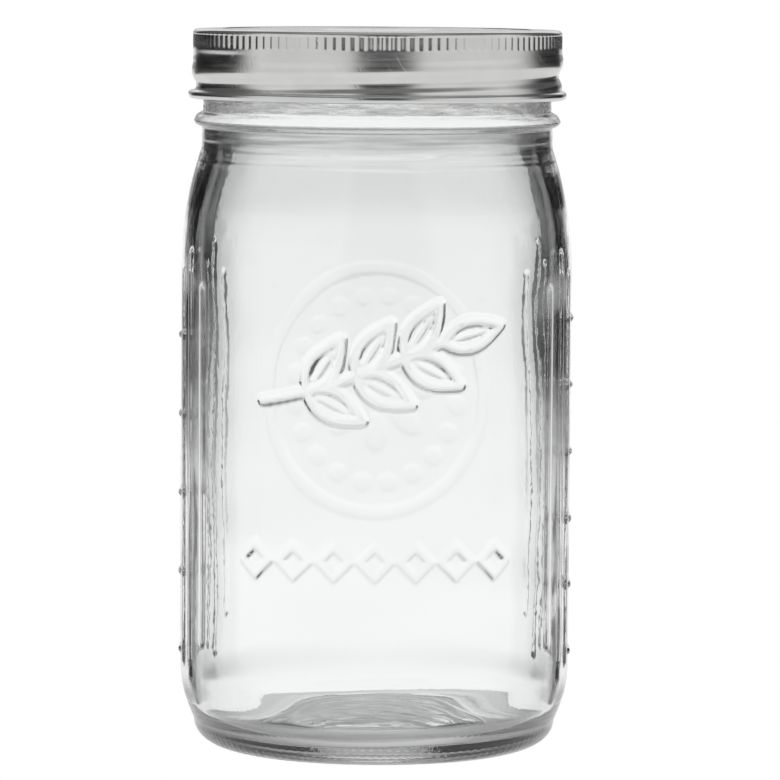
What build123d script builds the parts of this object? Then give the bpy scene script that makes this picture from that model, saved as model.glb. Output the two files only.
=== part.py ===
"""Wide mouth preserving jar: glass jar, flat steel lid, sealing ring and screw band.

Millimetres, +Z up. The origin is the centre of the base, on the surface the jar stands on.
The front of the jar faces -Y. The screw thread is right-handed.
"""
import os
from math import cos, pi, sin, sqrt
from build123d import *

# Heights on the glass jar
HEEL_HEIGHT = 15.0
WALL_TOP = 113.5
SHOULDER_END = 139.0
NECK_BOTTOM = 143.0
BEAD_HEIGHT = 149.0
RIM_HEIGHT = 169.5

# Glass body: across the flats, with corners that stand out into a soft square
BODY_HALF_WIDTH = 46.75
CORNER_BULGE = 1.9
WALL_THICKNESS = 3.15
SHOULDER_RADIUS = 88.0
SHOULDER_STEPS = 6
SECTION_POINTS = 32

# Neck and finish of the glass, as radii
NECK_RADIUS = 41.85
FINISH_RADIUS = 41.5
BORE_RADIUS = 38.1
NECK_STEP = 0.06
NECK_OVERLAP = 2.0
BEAD_RADIUS = 43.8
BEAD_HALF_HEIGHT = 2.3
RIM_ROUNDING = 1.1

# Base and heel; heel levels are height, half width and corner bulge
BASE_RADIUS = 42.3
BASE_ROUNDING = 2.4
BASE_BULGE = 0.5
BEARING_INNER_RADIUS = 33.0
BASE_STEPS = 5
LOWER_HEEL = (6.0, 44.0, 1.0)
UPPER_HEEL = (11.0, 46.1, 1.6)
PUSH_UP_HEIGHT = 3.2
PUSH_UP_SLOPE = -0.8
FLOOR_EDGE_HEIGHT = 5.0
FLOOR_CROWN = 2.4
CROWN_RADIUS = 36.0
CROWN_SLOPE = -0.1
INNER_HEEL_LEVELS = ((5.0, 37.0, 0.2), (6.5, 39.0, 0.6), (10.0, 41.6, 1.2), (14.0, 43.0, 1.7))
INNER_HEEL_HEIGHT = 19.0

# Right-handed screw thread shared by the glass and the band
THREAD_PITCH = 5.08
THREAD_DATUM = 154.56
GLASS_THREAD_RADIUS = 43.25
GLASS_THREAD_OFFSET = 2.1
GLASS_THREAD_START = 90.0
GLASS_THREAD_TURNS = 1.2
GLASS_THREAD_ROOT = 1.6
GLASS_THREAD_CREST = 0.6
BAND_THREAD_START = 140.0
BAND_THREAD_TURNS = 1.05
BAND_THREAD_DEPTH = 0.8
BAND_THREAD_ROOT = 1.5
BAND_THREAD_CREST = 0.5
THREAD_BITE = 0.6

# Raised decoration on the glass
RELIEF = 0.5
RELIEF_BITE = 1.0
RIB_OFFSETS = (13.3, 19.4, 25.9)
RIB_WIDTH = 1.6
RIB_BOTTOM = 18.0
RIB_TOP = 112.0
TICK_LENGTH = 9.0
TICK_WIDTH = 0.9
TICK_BOTTOM = 21.8
METRIC_TICK_SPACING = 16.1
METRIC_TICK_COUNT = 6
CUP_TICK_SPACING = 19.0
CUP_TICK_COUNT = 5
BACK_FRAME = (29.0, 31.0)
BACK_FRAME_HEIGHT = 80.0
BACK_FRAME_WIDTH = 1.1

# Leafy sprig on the front: the stem leans up to the right and carries pairs of outlined leaves
SPRIG_HEIGHT = 94.0
SPRIG_LEAN = 15.0
STEM_START = -27.0
STEM_END = 17.5
STEM_WIDTH = 1.6
LEAF_ROOTS = (-17.0, -5.0, 7.0)
LEAF_ANGLE = 42.0
LEAF_HALF_LENGTH = 7.2
LEAF_HALF_WIDTH = 3.3
LEAF_STROKE = 1.5
LEAF_OFFSET = 8.6
TIP_LEAF_CENTRE = 24.0

# Row of outlined lozenges low on the front
LOZENGE_COUNT = 7
LOZENGE_SPACING = 9.6
LOZENGE_HEIGHT = 48.6
LOZENGE_TURN = 45.0
LOZENGE_SIDE = 6.0
LOZENGE_STROKE = 1.3

# Lid, seal and band
SEAL_THICKNESS = 0.55
SEAL_CHAMFER = 0.18
SEAL_INNER_RADIUS = 37.9
SEAL_OUTER_RADIUS = 42.2
LID_SHEET = 0.25
LID_RADIUS = 42.75
LID_LIP = 0.55
PANEL_RADIUS = 36.6
PANEL_STEP = 0.15
BUTTON_RADIUS = 14.0
BUTTON_RISE = 0.15
STEP_RUN = 0.8
BAND_SHEET = 0.3
BAND_RADIUS = 44.0
BAND_HEIGHT = 16.55
BAND_CORNER = 1.1
FLANGE_INNER_RADIUS = 37.3
CURL_HALF_WIDTH = 0.72
CURL_HALF_HEIGHT = 0.95

LID_BOTTOM = RIM_HEIGHT + SEAL_THICKNESS
BAND_TOP = LID_BOTTOM + LID_SHEET + BAND_SHEET
BAND_BOTTOM = BAND_TOP - BAND_HEIGHT


def section_points(half_width, bulge):
    """Points round one level section: a circle whose four corners stand out by bulge."""
    points = []
    for step in range(SECTION_POINTS):
        degrees = 360 * step / SECTION_POINTS
        radius = half_width + bulge * (1 - cos(8 * pi * step / SECTION_POINTS)) / 2
        points.append(Vector(radius, 0).rotate(Axis.Z, degrees))
    return points


def lofted(levels):
    """Smooth solid through level sections, each given as height, half width and corner bulge."""
    with BuildPart() as solid:
        for height, half_width, bulge in levels:
            with BuildSketch(Plane.XY.offset(height)):
                with BuildLine():
                    Spline(section_points(half_width, bulge), periodic=True)
                make_face()
        loft()
    return solid.part


def wall_prism(bottom, top, half_width):
    """Upright part of the body, with one section all the way up."""
    with BuildPart() as prism:
        with BuildSketch(Plane.XY.offset(bottom)):
            with BuildLine():
                Spline(section_points(half_width, CORNER_BULGE), periodic=True)
            make_face()
        extrude(amount=top - bottom)
    return prism.part


def shoulder_levels(wall, neck_radius):
    """The shoulder follows one large arc inwards, then turns into the round neck."""
    levels = []
    for step in range(SHOULDER_STEPS):
        rise = (SHOULDER_END - WALL_TOP) * step / (SHOULDER_STEPS - 1)
        drop = SHOULDER_RADIUS - sqrt(SHOULDER_RADIUS**2 - rise**2)
        fade = 1 - (rise / (NECK_BOTTOM - WALL_TOP)) ** 2
        levels.append((WALL_TOP + rise, BODY_HALF_WIDTH - wall - drop, CORNER_BULGE * fade))
    levels.append((NECK_BOTTOM, neck_radius + NECK_STEP, 0.0))
    return levels


def heel_levels():
    """The heel tapers almost straight in from the wall to the rounded edge of the base."""
    bottom = (BASE_ROUNDING, BASE_RADIUS, BASE_BULGE)
    top = (HEEL_HEIGHT, BODY_HALF_WIDTH, CORNER_BULGE)
    return [bottom, LOWER_HEEL, UPPER_HEEL, top]


def base_levels():
    """Quarter round that turns the heel under to the bearing ring the jar stands on."""
    levels = []
    for step in range(BASE_STEPS):
        turn = pi / 2 * step / (BASE_STEPS - 1)
        height = BASE_ROUNDING * (1 - cos(turn))
        levels.append((height, BASE_RADIUS - BASE_ROUNDING * (1 - sin(turn)), BASE_BULGE))
    return levels


def inner_heel_levels():
    """The inside of the heel sweeps up from the floor into the wall."""
    top = (INNER_HEEL_HEIGHT, BODY_HALF_WIDTH - WALL_THICKNESS, CORNER_BULGE)
    return [*INNER_HEEL_LEVELS, top]


def thread_ridge(start_angle, turns, offset, corners):
    """Helical solid whose section has corners given as radius and height about the thread line."""
    with BuildPart() as ridge:
        with BuildLine() as path:
            Helix(pitch=THREAD_PITCH, height=THREAD_PITCH * turns, radius=FINISH_RADIUS)
        tangent = path.line % 0
        with BuildSketch(Plane(origin=path.line @ 0, x_dir=(1, 0, 0), z_dir=tangent)):
            with BuildLine():
                Polyline([(radius - FINISH_RADIUS, -height) for radius, height in corners], close=True)
            make_face()
        sweep(path=path.line, is_frenet=True)
    rise = THREAD_DATUM + offset + THREAD_PITCH * start_angle / 360
    return Location((0, 0, rise), (0, 0, start_angle)) * ridge.part


def trapezoid(root_radius, crest_radius, half_root, half_crest):
    """Thread section, wide at its root radius and narrow at its crest radius."""
    return [
        (root_radius, -half_root),
        (crest_radius, -half_crest),
        (crest_radius, half_crest),
        (root_radius, half_root),
    ]


def make_cavity():
    """The space inside the glass: crowned floor, inner heel, wall, shoulder and mouth."""
    crown_top = FLOOR_EDGE_HEIGHT + FLOOR_CROWN
    with BuildPart() as cavity:
        add(lofted(inner_heel_levels()))
        add(wall_prism(INNER_HEEL_HEIGHT, WALL_TOP, BODY_HALF_WIDTH - WALL_THICKNESS))
        add(lofted(shoulder_levels(WALL_THICKNESS, BORE_RADIUS)))
        with BuildSketch(Plane.XY.offset(NECK_BOTTOM - NECK_OVERLAP)):
            Circle(BORE_RADIUS)
        extrude(amount=RIM_HEIGHT - NECK_BOTTOM + 2 * NECK_OVERLAP)
        with BuildSketch(Plane.XZ):
            with BuildLine():
                Line((0, 0), (0, crown_top))
                Spline(
                    (0, crown_top), (CROWN_RADIUS, FLOOR_EDGE_HEIGHT), tangents=((1, 0), (1, CROWN_SLOPE))
                )
                Polyline((CROWN_RADIUS, FLOOR_EDGE_HEIGHT), (CROWN_RADIUS, 0), (0, 0))
            make_face()
        revolve(axis=Axis.Z, mode=Mode.SUBTRACT)
        with BuildSketch(Plane.XZ):
            with BuildLine():
                Polyline(
                    (BORE_RADIUS + RIM_ROUNDING, RIM_HEIGHT),
                    (BORE_RADIUS - RIM_ROUNDING, RIM_HEIGHT),
                    (BORE_RADIUS - RIM_ROUNDING, RIM_HEIGHT - RIM_ROUNDING),
                    (BORE_RADIUS, RIM_HEIGHT - RIM_ROUNDING),
                )
                RadiusArc(
                    (BORE_RADIUS, RIM_HEIGHT - RIM_ROUNDING),
                    (BORE_RADIUS + RIM_ROUNDING, RIM_HEIGHT),
                    RIM_ROUNDING,
                )
            make_face()
        revolve(axis=Axis.Z)
    return cavity.part


def add_leaf(centre, angle):
    """Outlined leaf in the sketch being drawn, centred at a point and turned by angle degrees."""
    with Locations(Location(centre, angle)):
        Ellipse(LEAF_HALF_LENGTH, LEAF_HALF_WIDTH)
        Ellipse(LEAF_HALF_LENGTH - LEAF_STROKE, LEAF_HALF_WIDTH - LEAF_STROKE, mode=Mode.SUBTRACT)


def make_sprig():
    """Flat drawing of the front sprig, lying along X about the origin."""
    with BuildSketch() as sprig:
        for root in LEAF_ROOTS:
            for side in (-1, 1):
                reach = Vector(LEAF_OFFSET, 0).rotate(Axis.Z, side * LEAF_ANGLE)
                add_leaf((root + reach.X, reach.Y), side * LEAF_ANGLE)
        add_leaf((TIP_LEAF_CENTRE, 0), 0)
        with Locations(((STEM_START + STEM_END) / 2, 0)):
            SlotOverall(STEM_END - STEM_START, STEM_WIDTH)
    return sprig.sketch


def make_relief():
    """Everything that stands out from the upright wall: ribs, ticks, sprig, lozenges and frame."""
    half_width = BODY_HALF_WIDTH + RELIEF
    reach = 2 * BODY_HALF_WIDTH
    tick_start = BODY_HALF_WIDTH / 2
    rib_length = RIB_TOP - RIB_BOTTOM
    rib_middle = (RIB_TOP + RIB_BOTTOM) / 2
    with BuildPart() as marks:
        with BuildSketch(Plane.YZ):
            for offset in RIB_OFFSETS:
                with Locations((offset, rib_middle), (-offset, rib_middle)):
                    SlotOverall(rib_length, RIB_WIDTH, rotation=90)
        extrude(amount=reach, both=True)
        with BuildSketch(Plane.YZ.offset(tick_start)):
            for step in range(METRIC_TICK_COUNT):
                with Locations((0, TICK_BOTTOM + METRIC_TICK_SPACING * step)):
                    SlotOverall(TICK_LENGTH, TICK_WIDTH)
        extrude(amount=reach)
        with BuildSketch(Plane.YZ.offset(-tick_start)):
            for step in range(CUP_TICK_COUNT):
                with Locations((0, TICK_BOTTOM + CUP_TICK_SPACING * step)):
                    SlotOverall(TICK_LENGTH, TICK_WIDTH)
        extrude(amount=-reach)
        with BuildSketch(Plane.XZ.offset(tick_start)):
            add(Location((0, SPRIG_HEIGHT), SPRIG_LEAN) * make_sprig())
            for step in range(LOZENGE_COUNT):
                offset = LOZENGE_SPACING * (step - (LOZENGE_COUNT - 1) / 2)
                with Locations(Location((offset, LOZENGE_HEIGHT), LOZENGE_TURN)):
                    Rectangle(LOZENGE_SIDE, LOZENGE_SIDE)
                    lozenge_hole = LOZENGE_SIDE - 2 * LOZENGE_STROKE
                    Rectangle(lozenge_hole, lozenge_hole, mode=Mode.SUBTRACT)
        extrude(amount=reach)
        with BuildSketch(Plane.XZ.offset(-tick_start)):
            with Locations((0, BACK_FRAME_HEIGHT)):
                Ellipse(*BACK_FRAME)
                inner_frame = [radius - BACK_FRAME_WIDTH for radius in BACK_FRAME]
                Ellipse(*inner_frame, mode=Mode.SUBTRACT)
        extrude(amount=-reach)
        add(wall_prism(HEEL_HEIGHT, WALL_TOP, half_width), mode=Mode.INTERSECT)
        add(wall_prism(HEEL_HEIGHT, WALL_TOP, BODY_HALF_WIDTH - RELIEF_BITE), mode=Mode.SUBTRACT)
    return marks.part


def make_glass_jar():
    """Pressed glass jar, one piece of glass with its thread, bead, ribs and push-up base."""
    thread = trapezoid(
        FINISH_RADIUS - THREAD_BITE, GLASS_THREAD_RADIUS, GLASS_THREAD_ROOT, GLASS_THREAD_CREST
    )
    with BuildPart() as glass_jar:
        add(lofted(base_levels()))
        add(lofted(heel_levels()))
        add(wall_prism(HEEL_HEIGHT, WALL_TOP, BODY_HALF_WIDTH))
        add(lofted(shoulder_levels(0.0, NECK_RADIUS)))
        with BuildSketch(Plane.XZ):
            with BuildLine():
                Polyline(
                    (NECK_RADIUS, BEAD_HEIGHT - BEAD_HALF_HEIGHT),
                    (NECK_RADIUS, NECK_BOTTOM),
                    (NECK_RADIUS - NECK_OVERLAP, NECK_BOTTOM - NECK_OVERLAP),
                    (0, NECK_BOTTOM - NECK_OVERLAP),
                    (0, RIM_HEIGHT),
                    (FINISH_RADIUS - RIM_ROUNDING, RIM_HEIGHT),
                )
                RadiusArc(
                    (FINISH_RADIUS - RIM_ROUNDING, RIM_HEIGHT),
                    (FINISH_RADIUS, RIM_HEIGHT - RIM_ROUNDING),
                    RIM_ROUNDING,
                )
                Line(
                    (FINISH_RADIUS, RIM_HEIGHT - RIM_ROUNDING),
                    (FINISH_RADIUS, BEAD_HEIGHT + BEAD_HALF_HEIGHT),
                )
                ThreePointArc(
                    (FINISH_RADIUS, BEAD_HEIGHT + BEAD_HALF_HEIGHT),
                    (BEAD_RADIUS, BEAD_HEIGHT),
                    (NECK_RADIUS, BEAD_HEIGHT - BEAD_HALF_HEIGHT),
                )
            make_face()
        revolve(axis=Axis.Z)
        add(make_cavity(), mode=Mode.SUBTRACT)
        add(thread_ridge(GLASS_THREAD_START, GLASS_THREAD_TURNS, GLASS_THREAD_OFFSET, thread))
        add(make_relief())
        with BuildSketch(Plane.XZ):
            with BuildLine():
                Line((0, 0), (0, PUSH_UP_HEIGHT))
                Spline(
                    (0, PUSH_UP_HEIGHT),
                    (BEARING_INNER_RADIUS, 0),
                    tangents=((1, 0), (1, PUSH_UP_SLOPE)),
                )
                Line((BEARING_INNER_RADIUS, 0), (0, 0))
            make_face()
        revolve(axis=Axis.Z, mode=Mode.SUBTRACT)
    glass_jar.part.label = "glass_jar"
    return glass_jar.part


def make_sealing_ring():
    """Ring of sealing compound bonded under the lid, resting on the glass rim."""
    with BuildPart() as sealing_ring:
        with BuildSketch(Plane.XY.offset(RIM_HEIGHT)):
            Circle(SEAL_OUTER_RADIUS)
            Circle(SEAL_INNER_RADIUS, mode=Mode.SUBTRACT)
        extrude(amount=SEAL_THICKNESS)
        top_edges = sealing_ring.edges().filter_by(GeomType.CIRCLE).group_by(Axis.Z)[0]
        chamfer(top_edges, length=SEAL_CHAMFER)
    sealing_ring.part.label = "sealing_ring"
    return sealing_ring.part


def lid_line(lift):
    """Half section of the lid sheet, from the centre button out to the edge, lifted by lift."""
    flat = LID_BOTTOM + lift
    panel = flat + PANEL_STEP
    return [
        (0, panel + BUTTON_RISE),
        (BUTTON_RADIUS - STEP_RUN, panel + BUTTON_RISE),
        (BUTTON_RADIUS, panel),
        (PANEL_RADIUS - STEP_RUN, panel),
        (PANEL_RADIUS, flat),
    ]


def make_lid_disc():
    """Flat steel lid: centre button, stepped panel, flat rim and a short turned-down lip."""
    lip_inner = LID_RADIUS - LID_SHEET
    with BuildPart() as lid_disc:
        with BuildSketch(Plane.XZ):
            with BuildLine():
                Polyline(
                    *lid_line(LID_SHEET),
                    (LID_RADIUS, LID_BOTTOM + LID_SHEET),
                    (LID_RADIUS, LID_BOTTOM - LID_LIP),
                    (lip_inner, LID_BOTTOM - LID_LIP),
                    (lip_inner, LID_BOTTOM),
                    *reversed(lid_line(0.0)),
                    close=True,
                )
            make_face()
        revolve(axis=Axis.Z)
    lid_disc.part.label = "lid_disc"
    return lid_disc.part


def make_screw_band():
    """Tinplate band: top flange, skirt with a rolled thread, and a curled lower edge."""
    inner_radius = BAND_RADIUS - BAND_SHEET
    crest_radius = BAND_RADIUS - BAND_THREAD_DEPTH
    curl_height = BAND_BOTTOM + CURL_HALF_HEIGHT
    ridge = trapezoid(
        BAND_RADIUS - BAND_SHEET / 2, crest_radius - BAND_SHEET, BAND_THREAD_ROOT, BAND_THREAD_CREST
    )
    groove = trapezoid(
        BAND_RADIUS + THREAD_BITE, crest_radius, BAND_THREAD_ROOT, BAND_THREAD_CREST - BAND_SHEET
    )
    with BuildPart() as screw_band:
        with BuildSketch(Plane.XZ):
            with BuildLine():
                FilletPolyline(
                    (FLANGE_INNER_RADIUS, BAND_TOP),
                    (BAND_RADIUS, BAND_TOP),
                    (BAND_RADIUS, curl_height),
                    radius=BAND_CORNER,
                )
                Line((BAND_RADIUS, curl_height), (inner_radius, curl_height))
                FilletPolyline(
                    (inner_radius, curl_height),
                    (inner_radius, BAND_TOP - BAND_SHEET),
                    (FLANGE_INNER_RADIUS, BAND_TOP - BAND_SHEET),
                    radius=BAND_CORNER - BAND_SHEET,
                )
                Line((FLANGE_INNER_RADIUS, BAND_TOP - BAND_SHEET), (FLANGE_INNER_RADIUS, BAND_TOP))
            make_face()
            with Locations((inner_radius + CURL_HALF_WIDTH, curl_height)):
                Ellipse(CURL_HALF_WIDTH, CURL_HALF_HEIGHT)
        revolve(axis=Axis.Z)
        add(thread_ridge(BAND_THREAD_START, BAND_THREAD_TURNS, 0.0, ridge))
        add(thread_ridge(BAND_THREAD_START, BAND_THREAD_TURNS, 0.0, groove), mode=Mode.SUBTRACT)
    screw_band.part.label = "screw_band"
    return screw_band.part


os.makedirs("parts", exist_ok=True)
for piece in (make_glass_jar(), make_lid_disc(), make_sealing_ring(), make_screw_band()):
    export_step(piece, f"parts/{piece.label}.step")
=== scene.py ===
"""Looks of a wide mouth preserving jar: pressed glass, steel lid, sealing ring and screw band.

Metres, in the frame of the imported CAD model: +Z up, the front of the jar faces -Y.
Profiles are worked out in millimetres and turned into metres where a mesh is made.
"""
import bpy
import numpy as np
from mathutils import Matrix, Vector


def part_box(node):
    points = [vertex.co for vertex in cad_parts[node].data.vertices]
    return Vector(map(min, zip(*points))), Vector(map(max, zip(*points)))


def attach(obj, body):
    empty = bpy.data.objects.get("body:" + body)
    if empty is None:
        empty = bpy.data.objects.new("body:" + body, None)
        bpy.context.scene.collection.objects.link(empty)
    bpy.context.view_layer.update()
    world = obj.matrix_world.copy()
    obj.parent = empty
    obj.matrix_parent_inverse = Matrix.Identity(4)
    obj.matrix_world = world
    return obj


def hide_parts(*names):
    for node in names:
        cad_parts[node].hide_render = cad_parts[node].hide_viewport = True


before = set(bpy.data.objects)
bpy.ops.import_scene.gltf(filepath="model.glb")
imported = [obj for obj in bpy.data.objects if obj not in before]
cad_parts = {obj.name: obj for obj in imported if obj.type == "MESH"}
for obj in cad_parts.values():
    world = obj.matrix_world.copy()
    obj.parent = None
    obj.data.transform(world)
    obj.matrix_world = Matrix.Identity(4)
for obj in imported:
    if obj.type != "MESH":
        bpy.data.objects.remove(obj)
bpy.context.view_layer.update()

MM = 0.001
TAU = 2 * np.pi
SIN_45 = 0.707

# Heights, millimetres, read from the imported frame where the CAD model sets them
BAND_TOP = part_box("screw_band")[1].z / MM
BAND_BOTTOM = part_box("screw_band")[0].z / MM
RIM_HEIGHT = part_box("glass_jar")[1].z / MM
LID_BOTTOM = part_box("sealing_ring")[1].z / MM
HEEL_TOP = 15.0
WALL_TOP = 113.5
SHOULDER_MIDDLE = 123.0
BEAD_HEIGHT = 149.0

# Glass body and finish; RELIEF_REACH is the furthest that anything stands out, along X or Y
HALF_WIDTH = 46.75
RELIEF_REACH = 47.23
CORNER_BULGE = 1.9
BASE_BULGE = 0.5
BULGE_ZONE = (2, 17)
CORNER_FADE = 29.5
WALL = 3.15
NECK_WALL_GAIN = 0.9
NECK_GAIN_ZONE = (124, 147)
SHOULDER_RADIUS = 88.0
SHOULDER_RISE = 34.0
NECK_RADIUS = 41.85
FINISH_RADIUS = 41.5
BORE_RADIUS = 38.1
BEAD_REACH = 2.0
BEAD_HALF_ABOVE = 1.9
BEAD_HALF_BELOW = 1.7
RIM_ROUNDING = 1.1
HEEL_SLOPE = 0.43
HEEL_KNEE = 12.6
HEEL_SOFTNESS = 2.2
BASE_ROUNDING = 5.2
STIPPLE_DEPTH = 0.06
STIPPLE_COUNT = 132
BEARING_RADIUS = 33.0
PUSH_UP = 3.2
PUSH_UP_RADIUS = 20.0
FLOOR_HEIGHT = 5.0
FLOOR_CROWN = 2.4
CROWN_FADE = (21, 33)
FLOOR_RADIUS = 36.8
INNER_HEEL_TOP = 21.0

# Screw thread, right-handed: heights at angle 0, which is +X; a section is a crest's half width and
# the width of its flank
PITCH = 5.08
THREAD_DATUM = 154.56
GLASS_THREAD_OFFSET = 2.1
GLASS_THREAD_REACH = 1.75
GLASS_THREAD_SECTION = (0.45, 1.2)
GLASS_THREAD_SPAN = (90, 522)
THREAD_FADE = 30.0

# Level lines left by the mould: the heights where they start, are full, start to fade and end
NECK_LINES = (135, 140, 145, 147)
FINISH_LINES = (150, 152, 155, 158)
BORE_LINES = (137, 144, 158, 166)

# Raised sprig on the front, along and across its leaning stem; a stroke is a raised line's half width
SPRIG_HEIGHT = 94.0
SPRIG_LEAN = 15.0
STEM_SPAN = (-28, 17)
LEAF_ANGLE = 42.0
LEAF_ROOTS = (-17, -5, 7)
TIP_LEAF_ROOT = (16.5, 1.2)
LEAF_LENGTH = 14.6
LEAF_HALF_WIDTH = 3.2
SPRIG_STROKE = 1.55
VEIN_STROKE = 0.9

# Row of lozenges under the sprig
LOZENGE_HEIGHT = 48.6
LOZENGE_COUNT = 7
LOZENGE_SPACING = 9.6
LOZENGE_HALF_WIDTH = 3.6
LOZENGE_STROKE = 1.2

# Raised medallion on the back: an oval line, a ring of beads and a rosette
MEDALLION_HEIGHT = 80.0
MEDALLION_HALF_SIZE = (29.0, 31.0)
MEDALLION_STROKE = 1.8
MEDALLION_RELIEF = 0.45
BEAD_COUNT = 20
BEAD_RING_HALF_SIZE = (21.5, 23.5)
BEAD_RADIUS = 2.6
ROSETTE_EYE_RADIUS = 4.5
PETAL_COUNT = 8
PETAL_PLACE = 11.0
PETAL_HALF_SIZE = (5.2, 3.2)

# Sides: each grip rib's offset from the middle, bottom, top and strength; graduation ticks
RIBS = ((13.5, 21, 113, 1.0), (20.0, 18, 118, 0.9), (27.0, 27, 110, 0.35))
RIB_STROKE = 1.5
TICK_BOTTOM = 21.8
TICK_HALF_LENGTH = 4.5
TICK_STROKE = 0.75
METRIC_TICKS = (16.1, 6)
CUP_TICKS = (19.0, 5)

# Where the four sides face, in degrees from +X; the radius at which a design's widths are true, how
# far it reaches from its middle, and how far it stands out
FRONT, BACK, RIGHT, LEFT = 270, 90, 0, 180
DESIGN_RADIUS = HALF_WIDTH + 0.6
DESIGN_REACH = 33.0
RELIEF = 0.5

# A distance longer than any on the jar
FAR = 1e3

# Mesh detail: the first ring round the axis, where the inside's rows get closer, and columns
MIDDLE_RADIUS = 1.5
INNER_SHOULDER = 128.0
GLASS_COLUMNS = 720
BAND_COLUMNS = 1040
LID_COLUMNS = 256


def smooth(edge0, edge1, value):
    """Smooth step from 0 at edge0 to 1 at edge1."""
    t = np.clip((value - edge0) / (edge1 - edge0), 0, 1)
    return t * t * (3 - 2 * t)


def zone(value, start, full, fade, end):
    """0 outside start to end and 1 from full to fade, with smooth steps between."""
    return smooth(start, full, value) * (1 - smooth(fade, end, value))


def soft_max(value, floor, width):
    """Larger of value and floor, blended over width."""
    return floor + width * np.logaddexp(0, (value - floor) / width)


def ridge(distance, half_width, edge):
    """1 within half_width of a line or shape, falling smoothly to 0 over edge."""
    return 1 - smooth(half_width, half_width + edge, distance)


def segment_distance(u, v, a, b):
    """Distance from points (u, v) to the straight piece from a to b."""
    du, dv = b[0] - a[0], b[1] - a[1]
    t = np.clip(((u - a[0]) * du + (v - a[1]) * dv) / (du * du + dv * dv), 0, 1)
    return np.hypot(u - a[0] - t * du, v - a[1] - t * dv)


def path_distance(u, v, points):
    """Distance from points (u, v) to a line through points."""
    distance = np.full(u.shape, FAR)
    for a, b in zip(points, points[1:]):
        distance = np.minimum(distance, segment_distance(u, v, a, b))
    return distance


def oval_distance(u, v, half_u, half_v):
    """Near enough the distance to an oval's line, for points close to it."""
    k = np.hypot(u / half_u, v / half_v)
    gradient = np.hypot(u / half_u**2, v / half_v**2) + 1e-9
    return np.abs(k - 1) * k / gradient


def half_width(z):
    """Outside half width across the flats at height z."""
    heel = HEEL_SLOPE * HEEL_SOFTNESS * np.logaddexp(0, (HEEL_KNEE - z) / HEEL_SOFTNESS)
    return soft_max(HALF_WIDTH - heel - shoulder_drop(z), NECK_RADIUS, 0.2)


def shoulder_drop(z):
    """How far the shoulder's arc has come in at height z."""
    rise = np.clip(z - WALL_TOP, 0, SHOULDER_RISE)
    return SHOULDER_RADIUS - np.sqrt(SHOULDER_RADIUS**2 - rise**2)


def corner(z):
    """How far the four corners stand out at height z."""
    bulge = BASE_BULGE + (CORNER_BULGE - BASE_BULGE) * smooth(*BULGE_ZONE, z)
    rise = np.clip((z - WALL_TOP) / CORNER_FADE, 0, 1)
    return bulge * (1 - rise**2)


def squareness(theta):
    """0 across the flats and 1 at the corners."""
    return (1 - np.cos(4 * theta)) / 2


def thread_height(theta, z, offset, start, end):
    """Vertical distance from each point to a helical thread, and the fade at the thread's ends."""
    gap = np.full(np.broadcast(theta, z).shape, FAR)
    fade = np.zeros(gap.shape)
    for turn in range(3):
        angle = np.degrees(theta) % 360 + 360 * turn
        distance = np.abs(z - (THREAD_DATUM + offset + PITCH * angle / 360))
        present = zone(angle, start, start + THREAD_FADE, end - THREAD_FADE, end)
        nearer = distance < gap
        fade = np.where(nearer, present, fade)
        gap = np.where(nearer, distance, gap)
    return gap, fade


def tube(distance, radius):
    """Rounded cross section of a raised stroke: 1 on its line, 0 beyond radius."""
    reach = distance / radius
    return np.sqrt(np.clip(1 - reach**2, 0, 1)) * (1 - smooth(0.8, 1.0, reach))


def leaf(u, v, at, angle):
    """Distance to the outline and to the vein of an almond-shaped leaf that starts at a point."""
    c, s = np.cos(angle), np.sin(angle)
    along = (u - at[0]) * c + (v - at[1]) * s
    across = -(u - at[0]) * s + (v - at[1]) * c
    outline = np.full(u.shape, FAR)
    for side in (-1, 1):
        edge = [
            (t * LEAF_LENGTH, side * LEAF_HALF_WIDTH * np.sin(np.pi * t**0.85))
            for t in np.linspace(0, 1, 9)
        ]
        outline = np.minimum(outline, path_distance(along, across, edge))
    vein = segment_distance(along, across, (0.2 * LEAF_LENGTH, 0), (0.72 * LEAF_LENGTH, 0))
    return outline, vein


def stem_bow(along):
    """Height of the sprig's stem above its straight line."""
    return 1.6 * np.sin((along - 4) / 14)


def front_relief(u, v):
    """Raised design on the front: a leafy sprig that leans up to the right, and a row of lozenges."""
    lean = np.radians(SPRIG_LEAN)
    along = u * np.cos(lean) + (v - SPRIG_HEIGHT) * np.sin(lean)
    across = -u * np.sin(lean) + (v - SPRIG_HEIGHT) * np.cos(lean)
    stem = [(x, stem_bow(x)) for x in np.linspace(*STEM_SPAN, 10)]
    outline = path_distance(along, across, stem)
    veins = np.full(u.shape, FAR)
    leaves = [
        ((root, stem_bow(root)), side * LEAF_ANGLE)
        for root in LEAF_ROOTS
        for side in (-1, 1)
    ]
    for root, angle in leaves + [(TIP_LEAF_ROOT, 0.0)]:
        edge, vein = leaf(along, across, root, np.radians(angle))
        outline = np.minimum(outline, edge)
        veins = np.minimum(veins, vein)
    height = np.maximum(tube(outline, SPRIG_STROKE), 0.6 * tube(veins, VEIN_STROKE))
    # The two ends of the sprig stand out further than its middle
    height *= 1 + 0.4 * smooth(8, 20, np.abs(u))
    for i in range(LOZENGE_COUNT):
        centre = (i - (LOZENGE_COUNT - 1) / 2) * LOZENGE_SPACING
        across_corners = np.abs(u - centre) + np.abs(v - LOZENGE_HEIGHT)
        lozenge = np.abs(across_corners - LOZENGE_HALF_WIDTH) * SIN_45
        height = np.maximum(height, 0.55 * tube(lozenge, LOZENGE_STROKE))
    return height


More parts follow.
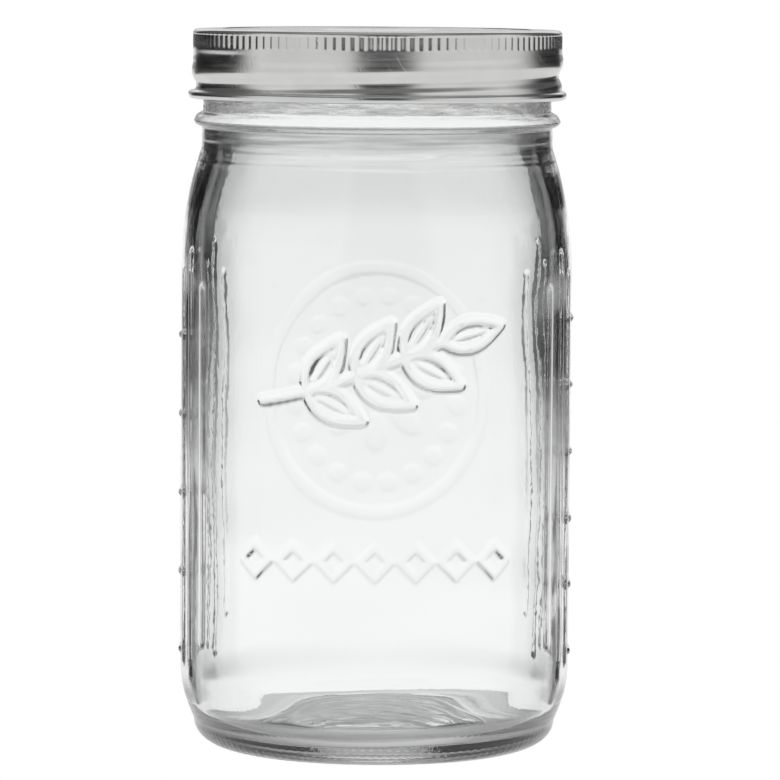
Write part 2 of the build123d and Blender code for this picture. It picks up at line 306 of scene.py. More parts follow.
def back_relief(u, v):
    """Raised medallion on the back: a rosette and a ring of beads inside an oval line."""
    v = v - MEDALLION_HEIGHT
    height = 0.6 * tube(oval_distance(u, v, *MEDALLION_HALF_SIZE), MEDALLION_STROKE)
    height = np.maximum(height, tube(np.hypot(u, v), ROSETTE_EYE_RADIUS))
    for i in range(PETAL_COUNT):
        turn = TAU * i / PETAL_COUNT
        along = u * np.cos(turn) + v * np.sin(turn) - PETAL_PLACE
        across = u * np.sin(turn) - v * np.cos(turn)
        petal = np.hypot(along / PETAL_HALF_SIZE[0], across / PETAL_HALF_SIZE[1])
        height = np.maximum(height, 0.9 * tube(petal, 1.0))
    ring_u, ring_v = BEAD_RING_HALF_SIZE
    for i in range(BEAD_COUNT):
        turn = TAU * (i + 0.5) / BEAD_COUNT
        bead = np.hypot(u - ring_u * np.cos(turn), v - ring_v * np.sin(turn))
        height = np.maximum(height, 0.6 * tube(bead, BEAD_RADIUS))
    return MEDALLION_RELIEF * height


def side_relief(u, v, spacing, count):
    """Grip ribs down both edges of a side, with graduation ticks between them."""
    height = np.zeros(u.shape)
    for offset, bottom, top, strength in RIBS:
        end = np.maximum(0, np.maximum(bottom - v, v - top))
        rib = np.hypot(np.abs(u) - offset, end)
        height = np.maximum(height, strength * tube(rib, RIB_STROKE))
    for i in range(count):
        tick = np.hypot(np.maximum(np.abs(u) - TICK_HALF_LENGTH, 0), v - TICK_BOTTOM - spacing * i)
        height = np.maximum(height, tube(tick, TICK_STROKE))
    return height


def waves(theta, z, seed, size):
    """Gentle unevenness of pressed glass, the same every run."""
    draw = np.random.default_rng(seed)
    total = np.zeros(np.broadcast(theta, z).shape)
    for _ in range(14):
        round_count = draw.integers(1, 9)
        rise = draw.uniform(0.02, 0.16)
        phase, lean = draw.uniform(0, TAU, 2)
        around = np.sin(round_count * theta + phase + np.sin(rise * z + lean))
        total += around * np.cos(rise * z * 0.7 + phase)
    return total * size / 4


def streaks(theta, z, seed, size):
    """Fine level lines left by the mould, wandering a little round the jar."""
    draw = np.random.default_rng(seed)
    total = np.zeros(np.broadcast(theta, z).shape)
    for _ in range(12):
        rate = TAU / draw.uniform(1.1, 4.0)
        phase, turn, lean = draw.uniform(0, TAU, 3)
        wander = draw.uniform(0.3, 1.2) * np.sin(draw.integers(2, 9) * theta + turn)
        strength = 0.6 + 0.4 * np.sin(draw.integers(3, 14) * theta + lean)
        total += strength * np.sin(rate * z + phase + wander)
    return total * size / 3


def relief(theta, z):
    """Everything that stands out of the wall of the glass, in millimetres."""
    turn = np.degrees(theta) % 360
    height = np.zeros(np.broadcast(theta, z).shape)
    z = z + 0 * height
    for centre, make in (
        (FRONT, front_relief),
        (BACK, back_relief),
        (RIGHT, lambda u, v: side_relief(u, v, *METRIC_TICKS)),
        (LEFT, lambda u, v: side_relief(u, v, *CUP_TICKS)),
    ):
        u = np.radians((turn - centre + 180) % 360 - 180) * DESIGN_RADIUS + 0 * height
        near = np.abs(u) < DESIGN_REACH
        height[near] = np.maximum(height[near], make(u[near], z[near]))
    return RELIEF * height


def outer_rows():
    """Rows of the glass from the middle of the underside, out and up to the rim."""
    theta = np.arange(GLASS_COLUMNS) * TAU / GLASS_COLUMNS
    square = squareness(theta)
    rows = []
    for r in np.linspace(MIDDLE_RADIUS, BEARING_RADIUS, 22):
        z = PUSH_UP * (1 - smooth(PUSH_UP_RADIUS, BEARING_RADIUS, r))
        rows.append((r + 0 * theta, z + 0 * theta))
    base = half_width(np.array(BASE_ROUNDING)) + corner(BASE_ROUNDING) * square
    for t in (0.35, 0.7):
        rows.append((BEARING_RADIUS + t * (base - BASE_ROUNDING - BEARING_RADIUS), 0 * theta))
    stipple = STIPPLE_DEPTH * (1 + np.sin(STIPPLE_COUNT * theta))
    for turn in np.linspace(0, np.pi / 2, 8)[:-1]:
        radius = base - BASE_ROUNDING * (1 - np.sin(turn)) - stipple * np.sin(2 * turn)
        rows.append((radius, BASE_ROUNDING * (1 - np.cos(turn)) + 0 * theta))
    heights = np.concatenate([
        np.linspace(BASE_ROUNDING, HEEL_TOP, 24)[:-1],
        np.linspace(HEEL_TOP, SHOULDER_MIDDLE, 240)[:-1],
        np.linspace(SHOULDER_MIDDLE, RIM_HEIGHT - RIM_ROUNDING, 150),
    ])
    z = heights[:, None] + 0 * theta[None, :]
    angle = theta[None, :] + 0 * z
    radius = half_width(z) + corner(z) * square[None, :]
    above = smooth(BEAD_HEIGHT - 0.5, BEAD_HEIGHT + 0.5, z)
    radius = radius * (1 - above) + FINISH_RADIUS * above
    from_bead = (z - BEAD_HEIGHT) / np.where(z > BEAD_HEIGHT, BEAD_HALF_ABOVE, -BEAD_HALF_BELOW)
    radius += BEAD_REACH * (1 - np.clip(from_bead, 0, 1) ** 2.3) ** 0.75
    gap, fade = thread_height(angle, z, GLASS_THREAD_OFFSET, *GLASS_THREAD_SPAN)
    radius += GLASS_THREAD_REACH * fade * ridge(gap, *GLASS_THREAD_SECTION)
    radius += relief(angle, z)
    radius += waves(angle, z, seed=3, size=0.05) * smooth(16, 30, z)
    radius += streaks(angle, z, seed=5, size=0.03) * zone(z, *FINISH_LINES)
    radius += streaks(angle, z, seed=6, size=0.032) * zone(z, *NECK_LINES)
    reach = RELIEF_REACH / np.maximum(np.abs(np.cos(angle)), np.abs(np.sin(angle)))
    radius = np.minimum(radius, reach)
    rows += list(zip(radius, z))
    for turn in np.linspace(0, np.pi / 2, 6)[1:]:
        rows.append((
            radius[-1] - RIM_ROUNDING * (1 - np.cos(turn)),
            RIM_HEIGHT - RIM_ROUNDING * (1 - np.sin(turn)) + 0 * theta,
        ))
    return rows


def floor_wave(theta, reach):
    """Uneven settling of the glass floor: a slight tilt and a saddle, growing with reach."""
    tilt = 0.5 * reach * np.cos(theta - 0.5)
    saddle = 0.3 * reach**2 * np.sin(2 * theta + 1)
    return tilt + saddle - 0.2 * reach**3 * np.cos(3 * theta)


def inner_rows():
    """Rows of the glass from the rim, down the inside to the middle of the floor."""
    theta = np.arange(GLASS_COLUMNS) * TAU / GLASS_COLUMNS
    square = squareness(theta)
    rows = []
    for turn in np.linspace(0, np.pi / 2, 6):
        rows.append((
            BORE_RADIUS + RIM_ROUNDING * (1 - np.sin(turn)) + 0 * theta,
            RIM_HEIGHT - RIM_ROUNDING * (1 - np.cos(turn)) + 0 * theta,
        ))
    heights = np.concatenate([
        np.linspace(RIM_HEIGHT - RIM_ROUNDING, INNER_SHOULDER, 134)[1:],
        np.linspace(INNER_SHOULDER, INNER_HEEL_TOP, 66)[1:],
    ])
    z = heights[:, None] + 0 * theta[None, :]
    angle = theta[None, :] + 0 * z
    thicker = NECK_WALL_GAIN * smooth(*NECK_GAIN_ZONE, z)
    inner = soft_max(HALF_WIDTH - WALL - shoulder_drop(z) - thicker, BORE_RADIUS, 0.3)
    bulge = corner(z) * (1 - smooth(140, 143, z))
    radius = inner + bulge * square[None, :]
    radius += waves(angle, z, seed=11, size=0.16) * zone(z, 22, 45, 105, 125)
    radius += streaks(angle, z, seed=13, size=0.02) * zone(z, *BORE_LINES)
    rows += list(zip(radius, z))
    last_bulge = corner(INNER_HEEL_TOP)
    depth = HALF_WIDTH - WALL - FLOOR_RADIUS
    for fall in np.concatenate([np.linspace(0, 0.9, 22), np.linspace(0.92, 1, 12)])[1:]:
        inward = 1 - np.sqrt(1 - fall**3)
        rows.append((
            HALF_WIDTH - WALL - depth * inward + last_bulge * (1 - inward) * square,
            FLOOR_HEIGHT + (INNER_HEEL_TOP - FLOOR_HEIGHT) * (1 - fall)
            + fall**4 * floor_wave(theta, 1.0),
        ))
    for r in np.linspace(FLOOR_RADIUS, MIDDLE_RADIUS, 24)[1:]:
        crown = FLOOR_CROWN * (1 - smooth(*CROWN_FADE, r))
        z = FLOOR_HEIGHT + crown + floor_wave(theta, r / FLOOR_RADIUS)
        ripple = 0.06 * np.sin(r * 0.9 + 2 * np.sin(theta)) * (r / 30)
        rows.append((r + 0 * theta, z + ripple))
    return rows


def turned_mesh(name, rows, columns, closed):
    """Mesh through rows of (radius, height), each an array round the axis, in millimetres.

    A closed profile comes back to its first row; an open one ends in a point at each end.
    """
    theta = np.arange(columns) * TAU / columns
    points = []
    for radius, height in rows:
        radius = radius + 0 * theta
        height = height + 0 * theta
        points.append(np.stack([radius * np.cos(theta), radius * np.sin(theta), height], axis=1))
    grid = np.concatenate(points) * MM
    count = len(rows)
    here = np.arange(columns)
    after = (here + 1) % columns
    faces = []
    for i in range(count if closed else count - 1):
        low, high = i * columns, (i + 1) % count * columns
        faces.append(np.stack([low + here, low + after, high + after, high + here], axis=1))
    faces = np.concatenate(faces).tolist()
    if not closed:
        ends = np.array([[0, 0, rows[0][1].mean()], [0, 0, rows[-1][1].mean()]]) * MM
        grid = np.concatenate([grid, ends])
        first, last, top = count * columns, count * columns + 1, (count - 1) * columns
        faces += [[first, b, a] for a, b in zip(here.tolist(), after.tolist())]
        faces += [[last, top + a, top + b] for a, b in zip(here.tolist(), after.tolist())]
    mesh = bpy.data.meshes.new(name)
    mesh.from_pydata(grid.tolist(), [], faces)
    mesh.polygons.foreach_set("use_smooth", np.ones(len(mesh.polygons), bool))
    mesh.update()
    piece = bpy.data.objects.new(name, mesh)
    bpy.context.scene.collection.objects.link(piece)
    return piece


def make_glass():
    """The glass jar as one closed skin: underside, outer wall, rim, inner wall and floor."""
    return turned_mesh("glass_jar_body", outer_rows() + inner_rows(), GLASS_COLUMNS, closed=False)


# Band, as radii and depths below its top
BAND_RADIUS = 44.0
BAND_SHEET = 0.3
FLANGE_INNER = 37.3
FLANGE_FLAT = 39.8
FLANGE_FALL = ((41.2, 0.04), (42.2, 0.1))
CORNER_FALL = 0.12
CORNER_RADIUS = 1.1
CURL_RADIUS = 44.4
CURL_HALF_WIDTH = 0.72
CURL_HALF_HEIGHT = 0.95
KNURLS = 130
KNURL_DEPTH = 0.19
KNURL_ZONE = (0.9, 1.3, 4.0, 4.6)
KNURL_BOTTOM = 4.9

# Rolled thread: the groove and the bulge above it, with spans in degrees, and a faint level groove
# on the side that faces -X
GROOVE_DEPTH = 0.72
GROOVE_SECTION = (0.3, 2.1)
GROOVE_SPAN = (120, 540)
BULGE_REACH = 0.26
BULGE_SECTION = (0.3, 1.9)
BULGE_OFFSET = 3.4
BULGE_SPAN = (60, 520)
BULGE_START = (5.1, 6.6)
FAINT_GROOVE_DEPTH = 0.13
FAINT_GROOVE_SECTION = (0.1, 1.3)
FAINT_GROOVE_PLACE = 6.1


def band_skirt(theta, z):
    """Outside radius of the band's skirt at height z, with its knurls, rolled thread and faint groove."""
    below = BAND_TOP - z
    knurl = (0.5 + 0.5 * np.cos(KNURLS * theta)) ** 1.5
    radius = BAND_RADIUS - KNURL_DEPTH * knurl * zone(below, *KNURL_ZONE)
    gap, fade = thread_height(theta, z, 0.0, *GROOVE_SPAN)
    radius -= GROOVE_DEPTH * ridge(gap, *GROOVE_SECTION) * fade
    above, fade_above = thread_height(theta, z, BULGE_OFFSET, *BULGE_SPAN)
    bulge = BULGE_REACH * ridge(above, *BULGE_SECTION) * fade_above
    radius += bulge * smooth(*BULGE_START, below)
    faint = ridge(np.abs(below - FAINT_GROOVE_PLACE), *FAINT_GROOVE_SECTION)
    radius -= FAINT_GROOVE_DEPTH * faint * smooth(0.55, 0.9, -np.cos(theta))
    return radius


def band_rows():
    """Closed section of the band: flange, corner, skirt, curled edge, then back up the inside."""
    theta = np.arange(BAND_COLUMNS) * TAU / BAND_COLUMNS
    flat = 0 * theta
    rows = []
    for r in np.linspace(FLANGE_INNER, FLANGE_FLAT, 4):
        rows.append((r + flat, BAND_TOP + flat))
    for r, fall in FLANGE_FALL:
        rows.append((r + flat, BAND_TOP - fall + flat))
    for turn in np.linspace(0, np.pi / 2, 9):
        rows.append((
            BAND_RADIUS - CORNER_RADIUS * (1 - np.sin(turn)) + flat,
            BAND_TOP - CORNER_FALL - CORNER_RADIUS * (1 - np.cos(turn)) + flat,
        ))
    edge = BAND_BOTTOM + 2 * CURL_HALF_HEIGHT
    skirt = np.concatenate([
        np.linspace(BAND_TOP - CORNER_RADIUS - 0.15, BAND_TOP - KNURL_BOTTOM, 26)[:-1],
        np.linspace(BAND_TOP - KNURL_BOTTOM, edge, 48),
    ])
    for z in skirt:
        rows.append((band_skirt(theta, z), z + flat))
    curl = BAND_BOTTOM + CURL_HALF_HEIGHT
    for turn in np.linspace(0.3, 1.5 * np.pi, 14):
        rows.append((
            CURL_RADIUS + CURL_HALF_WIDTH * np.sin(turn) + flat,
            curl + CURL_HALF_HEIGHT * np.cos(turn) + flat,
        ))
    for z in skirt[::-1]:
        rows.append((band_skirt(theta, z) - BAND_SHEET, z + flat))
    inside_top, inside_corner = BAND_TOP - BAND_SHEET, CORNER_RADIUS - BAND_SHEET
    for turn in np.linspace(np.pi / 2, 0, 5):
        rows.append((
            BAND_RADIUS - CORNER_RADIUS + inside_corner * np.sin(turn) + flat,
            inside_top - CORNER_FALL - inside_corner * (1 - np.cos(turn)) + flat,
        ))
    r, fall = FLANGE_FALL[0]
    rows.append((r + flat, inside_top - fall + flat))
    rows.append((FLANGE_INNER + flat, inside_top + flat))
    return rows


def make_band():
    """Screw band with its knurled skirt, rolled thread and curled edge."""
    return turned_mesh("screw_band_shell", band_rows(), BAND_COLUMNS, closed=True)


# Lid sheet and seal; an edge is the two radii between which the lid steps
LID_SHEET = 0.25
LID_RADIUS = 42.75
LID_EDGE_ROUNDING = 0.35
LID_LIP = 0.5
LID_FLAT_RADIUS = 42.4
LID_STEP = 0.15
PANEL_EDGE = (35.8, 36.6)
BUTTON_EDGE = (13.0, 14.0)
RING_PLACE = 31.0
RING_HALF_WIDTH = 1.2
RING_DEPTH = 0.06
RING_SECTION = (0.2, 0.6)
SEAL_INNER_RADIUS = 37.9
SEAL_OUTER_RADIUS = 42.2
SEAL_ROUNDING = 0.2


def lid_profile(radius):
    """Height of the lid's top above its flat rim: stepped panel, a pressed ring and centre button."""
    height = LID_STEP * (1 - smooth(*PANEL_EDGE, radius))
    height += LID_STEP * (1 - smooth(*BUTTON_EDGE, radius))
    height -= RING_DEPTH * ridge(np.abs(radius - RING_PLACE), *RING_SECTION)
    return height


def make_lid():
    """Stamped lid disc with a stepped panel, a centre button and a turned-down lip."""
    flat = np.zeros(LID_COLUMNS)
    top = LID_BOTTOM + LID_SHEET
    rows = []
    ring = (RING_PLACE - RING_HALF_WIDTH, RING_PLACE + RING_HALF_WIDTH)
    stops = (MIDDLE_RADIUS, *BUTTON_EDGE, *ring, *PANEL_EDGE, LID_FLAT_RADIUS)
    radii = np.unique(np.concatenate([
        np.linspace(start, end, count)
        for start, end, count in zip(stops, stops[1:], (6, 6, 6, 9, 4, 6, 4))
    ]))
    for r in radii:
        rows.append((r + flat, top + lid_profile(r) + flat))
    for turn in np.linspace(0.4, np.pi / 2, 4):
        rows.append((
            LID_RADIUS - LID_EDGE_ROUNDING * (1 - np.sin(turn)) + flat,
            top - LID_EDGE_ROUNDING * (1 - np.cos(turn)) + flat,
        ))
    rows.append((LID_RADIUS + flat, LID_BOTTOM - LID_LIP + flat))
    rows.append((LID_RADIUS - 0.1 + flat, LID_BOTTOM - LID_LIP - 0.05 + flat))
    rows.append((LID_RADIUS - LID_SHEET + flat, LID_BOTTOM - LID_LIP + flat))
    rows.append((LID_RADIUS - LID_SHEET + flat, LID_BOTTOM + flat))
    for r in radii[::-1]:
        rows.append((r + flat, LID_BOTTOM + lid_profile(r) + flat))
    return turned_mesh("lid_disc_sheet", rows, LID_COLUMNS, closed=False)


def make_seal():
    """Soft ring of sealing compound with rounded edges."""
    flat = np.zeros(LID_COLUMNS)
    rows = []
    inner, outer = SEAL_INNER_RADIUS + SEAL_ROUNDING, SEAL_OUTER_RADIUS - SEAL_ROUNDING
    low, high = RIM_HEIGHT + SEAL_ROUNDING, LID_BOTTOM - SEAL_ROUNDING
    corners = ((outer, low, -90), (outer, high, 0), (inner, high, 90), (inner, low, 180))
    for centre, height, start in corners:
        for turn in np.radians(np.linspace(start, start + 90, 5)):
            rows.append((
                centre + SEAL_ROUNDING * np.cos(turn) + flat,
                height + SEAL_ROUNDING * np.sin(turn) + flat,
            ))
    return turned_mesh("sealing_ring_bead", rows, LID_COLUMNS, closed=True)


# Node trees


class Tree:
    """Short ways to write arithmetic, ramps and noise into a node tree."""

    def __init__(self, node_tree):
        self.nodes, self.links = node_tree.nodes, node_tree.links

    def set(self, socket, value):
        """Give a socket a number, or another node's output."""
        if isinstance(value, (int, float)):
            socket.default_value = value
        else:
            self.links.new(value, socket)

    def coords(self, kind):
        """Texture coordinates of one kind."""
        return self.nodes.new("ShaderNodeTexCoord").outputs[kind]

    def split(self, vector):
        """The three parts of a vector."""
        node = self.nodes.new("ShaderNodeSeparateXYZ")
        self.links.new(vector, node.inputs[0])
        return node.outputs

    def math(self, operation, *values):
        """Arithmetic on numbers or outputs."""
        node = self.nodes.new("ShaderNodeMath")
        node.operation = operation
        for socket, value in zip(node.inputs, values):
            self.set(socket, value)
        return node.outputs[0]

    def ramp(self, value, start, end, low=0.0, high=1.0, kind="LINEAR"):
        """Map start to end onto low to high, held at both ends."""
        node = self.nodes.new("ShaderNodeMapRange")
        node.interpolation_type = kind
        node.inputs["From Min"].default_value = start
        node.inputs["From Max"].default_value = end
        node.inputs["To Min"].default_value = low
        node.inputs["To Max"].default_value = high
        self.links.new(value, node.inputs["Value"])
        return node.outputs["Result"]

    def step(self, value, start, end, low=0.0, high=1.0):
        """Smooth step of value, from low at start to high at end."""
        return self.ramp(value, start, end, low, high, "SMOOTHSTEP")

    def spread(self, value, low, high):
        """Map the middle of a noise's range onto low to high."""
        return self.ramp(value, 0.3, 0.7, low, high)

    def noise(self, coords, scale, stretch, detail=3.0):
        """Noise stretched by three factors."""
        mapping = self.nodes.new("ShaderNodeMapping")
        mapping.inputs["Scale"].default_value = stretch
        self.links.new(coords, mapping.inputs["Vector"])
        texture = self.nodes.new("ShaderNodeTexNoise")
        texture.inputs["Scale"].default_value = scale
        texture.inputs["Detail"].default_value = detail
        self.links.new(mapping.outputs["Vector"], texture.inputs["Vector"])
        return texture.outputs["Fac"]

    def tint(self, factor, a, b):
        """Colour a where factor is 0, b where it is 1."""
        node = self.nodes.new("ShaderNodeMix")
        node.data_type = "RGBA"
        node.inputs["A"].default_value = (*a, 1)
        node.inputs["B"].default_value = (*b, 1)
        self.links.new(factor, node.inputs["Factor"])
        return node.outputs["Result"]

    def bump(self, height, strength, distance, under=None):
        """Bump node, on top of another bump's normal if one is given."""
        node = self.nodes.new("ShaderNodeBump")
        self.set(node.inputs["Strength"], strength)
        node.inputs["Distance"].default_value = distance
        self.links.new(height, node.inputs["Height"])
        if under is not None:
            self.links.new(under.outputs["Normal"], node.inputs["Normal"])
        return node

    def mix(self, factor, a, b):
        """a where factor is 0, b where it is 1."""
        first = self.math("MULTIPLY", self.math("SUBTRACT", 1.0, factor), a)
        return self.math("ADD", first, self.math("MULTIPLY", factor, b))

    def without(self, value, factor):
        """value where factor is 0, nothing where it is 1."""
        return self.math("MULTIPLY", value, self.math("SUBTRACT", 1.0, factor))


# Materials


def new_material(name):
    """Material with a Principled shader, its tree and that shader."""
    material = bpy.data.materials.new(name)
    material.use_nodes = True
    tree = Tree(material.node_tree)
    return material, tree, tree.nodes["Principled BSDF"]


def glass_material():
    """Clear pressed glass: polished body, worked finish, hazy neck with painted shade along its mould
    lines, worn foot.
    """
    material, tree, shader = new_material("clear_glass")
    shader.inputs["IOR"].default_value = 1.5
    shader.inputs["Transmission Weight"].default_value = 1.0
    coords = tree.coords("Object")
    height = tree.split(coords)["Z"]

    # The finish above the bead is frosted, and nearly clear again where the band hides it
    finish = tree.step(height, 147.0 * MM, 152.5 * MM)
    worked = tree.math("MULTIPLY", finish, tree.step(height, 155.0 * MM, 159.0 * MM, 1.0, 0.15))
    # The neck between the shoulder and the bead is hazy, and painted shade darkens its colour in streaks
    # along the mould lines
    neck = tree.step(height, 141.0 * MM, 144.5 * MM, 0.0, 0.5)
    neck_haze_and_painted_shade = tree.math("MULTIPLY", neck, tree.step(height, 147.5 * MM, 145.5 * MM))
    lines = tree.spread(tree.noise(coords, 1200.0, (0.04, 0.04, 1)), 0.2, 0.85)
    painted_shade = tree.math("MULTIPLY", neck_haze_and_painted_shade, lines)
    # Painted shade: the streaks pull the glass colour towards black round the neck
    tree.links.new(tree.tint(painted_shade, (0.985, 0.992, 0.99), (0, 0, 0)), shader.inputs["Base Color"])

    grain = tree.noise(coords, 700.0, (0.25, 0.25, 1), 5.0)
    frost = tree.math("MULTIPLY", tree.math("ADD", worked, neck_haze_and_painted_shade), tree.spread(grain, 0.1, 0.4))
    foot = tree.ramp(height, 1.4 * MM, 0.4 * MM, 0.0, 0.3)
    skin = tree.spread(tree.noise(coords, 60.0, (1, 1, 1)), 0.0, 0.03)
    rough = tree.math("ADD", tree.math("ADD", frost, foot), skin)
    tree.links.new(rough, shader.inputs["Roughness"])

    ripple = tree.bump(tree.noise(coords, 180.0, (1, 1, 0.6)), 0.05, 0.0005)
    bump = tree.bump(grain, worked, 0.0004, ripple)
    tree.links.new(bump.outputs["Normal"], shader.inputs["Normal"])
    return material


def metal_material(name, color, rough_low, rough_high, stretch):
    """Satin tinplate with a fine grain and a few slanting scratches."""
    material, tree, shader = new_material(name)
    shader.inputs["Metallic"].default_value = 1.0
    coords = tree.coords("Object")
    blotch = tree.spread(tree.noise(coords, 90.0, (1, 1, 1), 6.0), 0.0, 1.0)
    tint = tree.tint(blotch, [c * 0.9 for c in color], color)
    tree.links.new(tint, shader.inputs["Base Color"])
    grain = tree.noise(coords, 500.0, stretch, 4.0)
    tree.links.new(tree.spread(grain, rough_low, rough_high), shader.inputs["Roughness"])

    lean = tree.nodes.new("ShaderNodeMapping")
    lean.inputs["Rotation"].default_value = (0, 0.6, 0)
    tree.links.new(coords, lean.inputs["Vector"])
    lines = tree.noise(lean.outputs["Vector"], 1500.0, (1, 1, 0.05), 2.0)
    score = tree.bump(tree.ramp(lines, 0.62, 0.7), 0.15, 0.0001, tree.bump(grain, 0.12, 0.0002))
    score.invert = True
    tree.links.new(score.outputs["Normal"], shader.inputs["Normal"])
    return material


def seal_material():
    """Matt grey sealing compound."""
    material, tree, shader = new_material("sealing_compound")
    shader.inputs["Roughness"].default_value = 0.6
    speckle = tree.noise(tree.coords("Object"), 400.0, (1, 1, 1))
    tint = tree.tint(speckle, (0.25, 0.25, 0.24), (0.32, 0.32, 0.31))
    tree.links.new(tint, shader.inputs["Base Color"])
    return material


TINPLATE = (0.8, 0.8, 0.79)

glass = make_glass()
band = make_band()
lid = make_lid()
seal = make_seal()

glass.data.materials.append(glass_material())
band.data.materials.append(metal_material("band_tinplate", TINPLATE, 0.17, 0.27, (0.15, 0.15, 1)))
lid.data.materials.append(metal_material("lid_steel", TINPLATE, 0.15, 0.26, (1, 1, 1)))
seal.data.materials.append(seal_material())

for piece, body, node, slot in (
    (glass, "jar", "glass_jar", "clear_glass"),
    (band, "band", "screw_band", "band_tinplate"),
    (lid, "lid", "lid_disc", "lid_steel"),
    (seal, "lid", "sealing_ring", "sealing_compound"),
):
    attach(piece, body)
    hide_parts(node)


# Stage

FLOOR_HALF_SIZE = 20.0
CONTACT_RADIUS = 0.047
CONTACT_POINTS = 96
CONTACT_DEPTH = 0.0001


def stage_face(name, corners, material_name):
    """One flat face of the stage with an emission material: the object, its tree and its shader."""
    mesh = bpy.data.meshes.new(name)
    mesh.from_pydata(corners, [], [list(range(len(corners)))])
    face = bpy.data.objects.new(name, mesh)
    bpy.context.scene.collection.objects.link(face)
    material = bpy.data.materials.new(material_name)
    material.use_nodes = True
    tree = Tree(material.node_tree)
    tree.nodes.clear()
    emission = tree.nodes.new("ShaderNodeEmission")
    output = tree.nodes.new("ShaderNodeOutputMaterial")
    tree.links.new(emission.outputs["Emission"], output.inputs["Surface"])
    mesh.materials.append(material)
    return face, tree, emission


def make_floor():
    """Plain white floor, seen directly but not in reflections or through the glass."""
    half = FLOOR_HALF_SIZE
    corners = [(-half, -half, 0), (half, -half, 0), (half, half, 0), (-half, half, 0)]
    floor, _, emission = stage_face("floor", corners, "floor_white")
    emission.inputs["Color"].default_value = (1, 1, 1, 1)
    emission.inputs["Strength"].default_value = 1.0
    floor.visible_glossy = False
    floor.visible_transmission = False


def make_contact():
    """Painted shadow on the floor right under the base, where little light gets; only the glass shows it.
    """
    around = np.arange(CONTACT_POINTS) * TAU / CONTACT_POINTS
    ring = [(CONTACT_RADIUS * np.cos(a), CONTACT_RADIUS * np.sin(a), -CONTACT_DEPTH) for a in around]
    contact, tree, emission = stage_face("floor_contact", ring, "floor_painted_shadow")
    coords = tree.coords("Object")
    depth = tree.split(coords)["Y"]
    painted_shade = tree.spread(tree.noise(coords, 30.0, (0.5, 1, 1)), 0.24, 0.42)
    # Painted light: the shadow lightens towards the back and towards the front edge
    rear = tree.ramp(depth, 0.017, 0.036, 0.0, 0.28)
    near = tree.ramp(depth, -0.030, -0.043, 0.0, 0.35)
    light = tree.math("ADD", painted_shade, tree.math("ADD", rear, near))
    tree.links.new(light, emission.inputs["Strength"])
    contact.visible_camera = False
    contact.visible_glossy = False


make_floor()
make_contact()


# Angles in degrees. Panels, from the camera's side: where each starts, is full, fades and ends.
# Flags, from the far side: the soft edge, the edge and the end; FLAG_TOP is an elevation.
LEFT_PANEL = (8, 18, 82, 100)
RIGHT_PANEL = (16, 30, 96, 122)
FLAG_SOFT_EDGE = (3.5, 11.5)
FLAG_EDGE = (11.2, 12.6)
FLAG_END = (70, 80)
FLAG_TOP = (36, 46)


def reflected_studio(sky, x, front, elevation):
    """Light met by reflections: a tall white panel on each side, dark between them, white behind."""
    right = sky.step(x, 0.0, 0.01)
    inner = sky.mix(right, sky.step(front, *LEFT_PANEL[:2]), sky.step(front, *RIGHT_PANEL[:2]))
    outer = sky.mix(right, sky.step(front, *LEFT_PANEL[2:]), sky.step(front, *RIGHT_PANEL[2:]))
    panels = sky.without(inner, outer)
    gap = sky.mix(sky.step(elevation, 6, 14), 0.01, 0.09)
    light = sky.math("ADD", gap, sky.math("MULTIPLY", panels, 0.7))
    rear = sky.mix(sky.step(elevation, -1.5, 0.2), 1.0, 0.45)
    rear = sky.mix(sky.step(elevation, 6, 12), rear, 1.0)
    light = sky.mix(sky.step(front, 155, 161), light, rear)
    light = sky.mix(sky.step(elevation, 30, 48), light, 0.17)
    light = sky.mix(sky.step(elevation, 56, 70), light, 0.42)
    return sky.mix(sky.step(elevation, -4, -8), light, 0.8)


def transmitted_studio(sky, back, elevation):
    """Light seen through the glass: a dark flag to each side of the far wall, fading downwards."""
    below = sky.math("MULTIPLY", elevation, -1.0)
    edge = sky.math("MULTIPLY", sky.step(back, *FLAG_SOFT_EDGE), 0.35)
    flag = sky.mix(sky.step(back, *FLAG_EDGE), edge, 1.0)
    flag = sky.without(flag, sky.step(back, *FLAG_END))
    flag = sky.without(flag, sky.step(elevation, *FLAG_TOP))
    # Near the middle the flag fades once; further out it lightens, darkens again and then ends
    near_fade = sky.step(below, 3.5, 8.5)
    far_fade = sky.math("MULTIPLY", sky.step(below, 3.5, 6), 0.3)
    far_fade = sky.without(far_fade, sky.math("MULTIPLY", sky.step(below, 6.8, 8.6), 0.85))
    far_fade = sky.mix(sky.step(below, 9.5, 11), far_fade, 1.0)
    flag = sky.without(flag, sky.mix(sky.step(back, 24, 33), near_fade, far_fade))
    wall = sky.mix(sky.step(elevation, -4, 1), 0.88, 0.72)
    wall = sky.mix(sky.step(elevation, 5, 9), wall, 0.36)
    wall = sky.mix(sky.step(elevation, 38, 50), wall, 0.85)
    wall = sky.mix(sky.step(below, 4, 10), wall, 0.97)
    return sky.without(wall, sky.math("MULTIPLY", flag, 0.98))


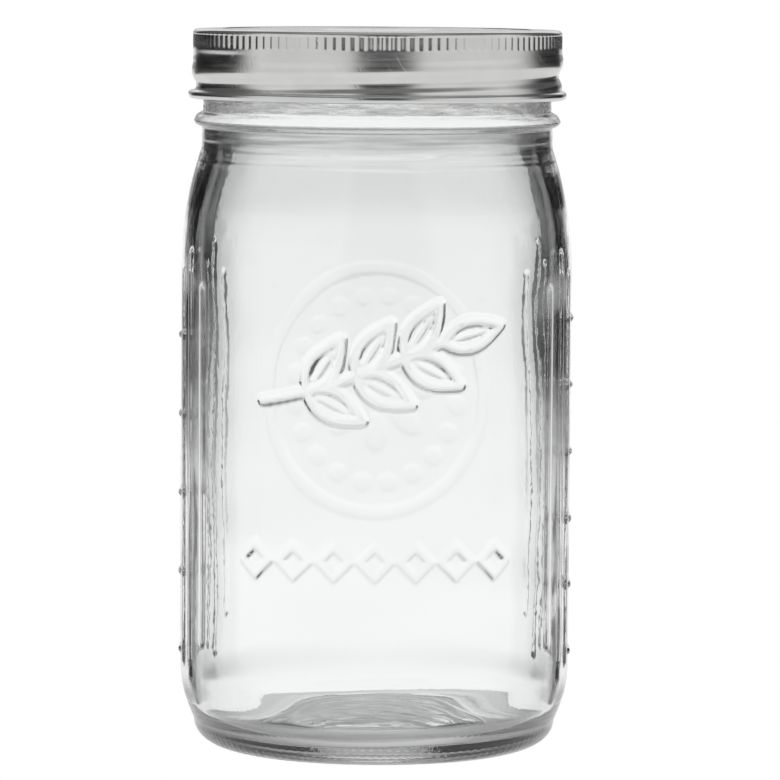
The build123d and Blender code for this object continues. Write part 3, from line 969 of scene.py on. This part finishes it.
def make_sky():
    """White studio with dark flags: one set met by reflections, one seen through the glass."""
    world = bpy.data.worlds.new("studio")
    bpy.context.scene.world = world
    world.use_nodes = True
    sky = Tree(world.node_tree)
    sky.nodes.clear()
    x, y, z = sky.split(sky.coords("Generated"))
    level = sky.math("SQRT", sky.math("ADD", sky.math("MULTIPLY", x, x), sky.math("MULTIPLY", y, y)))
    elevation = sky.math("MULTIPLY", sky.math("ARCTAN2", z, level), 360 / TAU)
    # Angle from the camera's side, -Y, and from the far side, +Y
    aside = sky.math("ARCTAN2", sky.math("ABSOLUTE", x), sky.math("MULTIPLY", y, -1.0))
    front = sky.math("MULTIPLY", aside, 360 / TAU)
    back = sky.math("SUBTRACT", 180.0, front)

    path = sky.nodes.new("ShaderNodeLightPath")
    light = sky.mix(path.outputs["Is Glossy Ray"], 1.0, reflected_studio(sky, x, front, elevation))
    through = transmitted_studio(sky, back, elevation)
    light = sky.mix(path.outputs["Is Transmission Ray"], light, through)
    background = sky.nodes.new("ShaderNodeBackground")
    background.inputs["Color"].default_value = (1, 1, 1, 1)
    sky.links.new(light, background.inputs["Strength"])
    output = sky.nodes.new("ShaderNodeOutputWorld")
    sky.links.new(background.outputs["Background"], output.inputs["Surface"])


make_sky()

CAMERA_PLACE = (0, -1.05, 0.186)
CAMERA_LENS = 202.7
CAMERA_PITCH = 5.54
CAMERA_YAW = -0.187
CAMERA_ROLL = 0.36


def make_camera():
    """Camera a little above the lid, looking slightly down at the front of the jar."""
    data = bpy.data.cameras.new("camera")
    data.lens = CAMERA_LENS
    data.sensor_width = 36.0
    camera = bpy.data.objects.new("camera", data)
    bpy.context.scene.collection.objects.link(camera)
    pitch, yaw, roll = np.radians([CAMERA_PITCH, CAMERA_YAW, CAMERA_ROLL])
    camera.matrix_world = (
        Matrix.Translation(Vector(CAMERA_PLACE))
        @ Matrix.Rotation(yaw, 4, "Z")
        @ Matrix.Rotation(np.pi / 2 - pitch, 4, "X")
        @ Matrix.Rotation(roll, 4, "Z")
    )
    bpy.context.scene.camera = camera


make_camera()
bpy.context.scene.view_settings.view_transform = "Standard"
bpy.context.scene.cycles.max_bounces = 24
bpy.context.scene.cycles.transmission_bounces = 24
bpy.context.scene.cycles.glossy_bounces = 24
